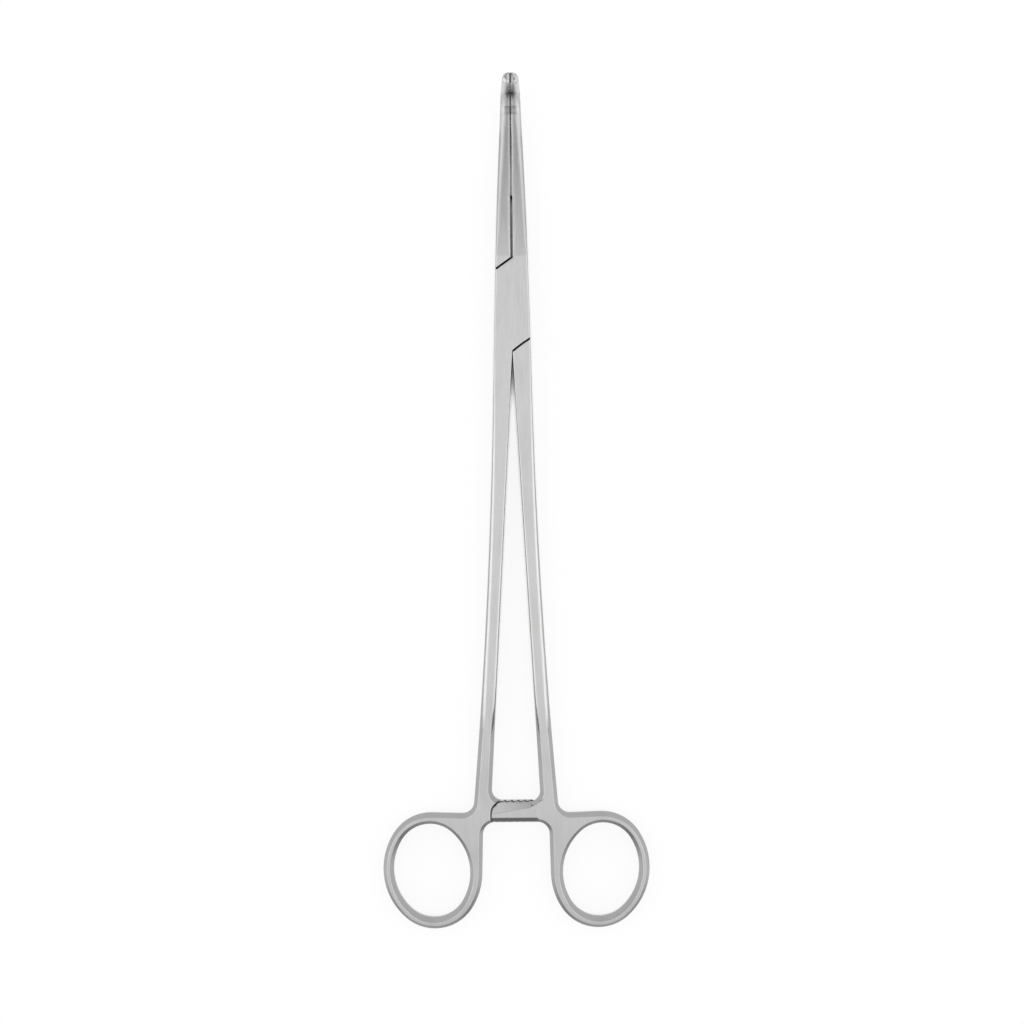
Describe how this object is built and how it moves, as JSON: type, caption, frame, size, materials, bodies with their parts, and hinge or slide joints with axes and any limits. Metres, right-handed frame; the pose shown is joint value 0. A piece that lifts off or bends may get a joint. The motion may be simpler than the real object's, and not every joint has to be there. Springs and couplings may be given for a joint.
{
  "type": "right angle forceps",
  "caption": "Long surgical forceps with a box lock, right-angled serrated jaw tips, finger rings and a ratchet that holds the jaws shut.",
  "frame": {"origin": "pivot axis at the back face of the box lock, the face the closed instrument rests on", "axes": "+Y runs from the pivot to the jaws, +X to the side of the half whose shank passes through the lock, +Z is the side to which the jaw tips turn"},
  "size_m": [0.0792, 0.2501, 0.0202],
  "materials": {
    "forged_steel": "satin",
    "pin_steel": "satin"
  },
  "bodies": {
    "box_half": {"female_half": "forged_steel", "pivot_pin": "pin_steel"},
    "tongue_half": {"male_half": "forged_steel"}
  },
  "joints": [
    {"name": "box_lock", "type": "hinge", "parent": "box_half", "child": "tongue_half", "pos_m": [0, 0, 0], "axis": [0, 0, 1], "range_deg": [0, 40]}
  ]
}
